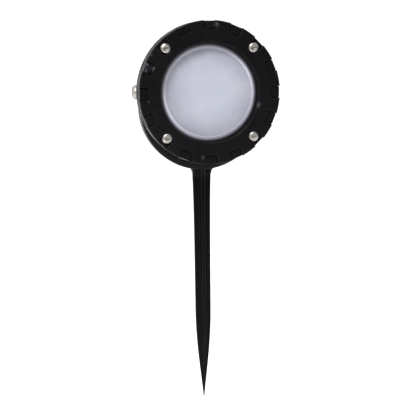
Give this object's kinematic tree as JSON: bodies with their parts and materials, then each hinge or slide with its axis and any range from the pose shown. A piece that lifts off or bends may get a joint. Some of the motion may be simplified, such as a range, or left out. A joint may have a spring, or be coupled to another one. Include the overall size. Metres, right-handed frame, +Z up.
{
  "type": "underwater pond light",
  "caption": "Round submersible lamp head with a screwed front ring and frosted lens, tilting in a fork moulded onto a cross-section ground spike.",
  "frame": {"origin": "on the spike's axis at the soil line, just under the fork", "axes": "+Z up along the spike, lens towards -Y, tilt axis along X"},
  "size_m": [0.0768, 0.061, 0.217],
  "materials": {
    "black_plastic": "satin, fine moulded grain",
    "fork_plastic": "satin, lightly rubbed edges",
    "frosted_lens": "frosted inside, smooth outside",
    "stainless": "bright, lightly tumbled",
    "brass": "machined",
    "rubber": "matt",
    "nylon": "natural nylon",
    "white_plastic": "satin white",
    "emitter": "phosphor under a clear dome",
    "board_white": "white solder mask on aluminium",
    "board_green": "green solder mask",
    "aluminium": "machined",
    "capacitor": "shrink sleeve",
    "ferrite": "sintered ferrite",
    "chip": "moulded epoxy",
    "red_wire": "PVC insulation",
    "black_wire": "PVC insulation"
  },
  "bodies": {
    "stake": {"fork_stake": "fork_plastic"},
    "head": {"bezel_ring": "black_plastic", "housing": "black_plastic", "lens": "frosted_lens", "lens_gasket": "rubber", "bezel_screw_1": "stainless", "bezel_screw_2": "stainless", "bezel_screw_3": "stainless", "bezel_screw_4": "stainless", "bezel_insert_1": "brass", "bezel_insert_2": "brass", "bezel_insert_3": "brass", "bezel_insert_4": "brass", "pivot_screw_left": "stainless", "pivot_screw_right": "stainless", "pivot_washer_left": "stainless", "pivot_washer_right": "stainless", "friction_washer_left": "nylon", "friction_washer_right": "nylon", "pivot_insert_left": "brass", "pivot_insert_right": "brass", "reflector": "white_plastic", "led_emitter": "emitter", "led_board": "board_white", "heat_plate": "aluminium", "board_screw_1": "stainless", "board_screw_2": "stainless", "driver_screw_1": "stainless", "driver_screw_2": "stainless", "driver_board": "board_green", "driver_capacitor": "capacitor", "driver_inductor": "ferrite", "driver_chip": "chip", "lead_red": "red_wire", "lead_black": "black_wire", "gland_body": "black_plastic", "gland_nut": "black_plastic", "gland_seal": "rubber", "gland_bush": "rubber"}
  },
  "joints": [
    {"name": "head_tilt", "type": "hinge", "parent": "stake", "child": "head", "pos_m": [0, 0, 0.046], "axis": [-1, 0, 0], "range_deg": [-14, 90]}
  ]
}
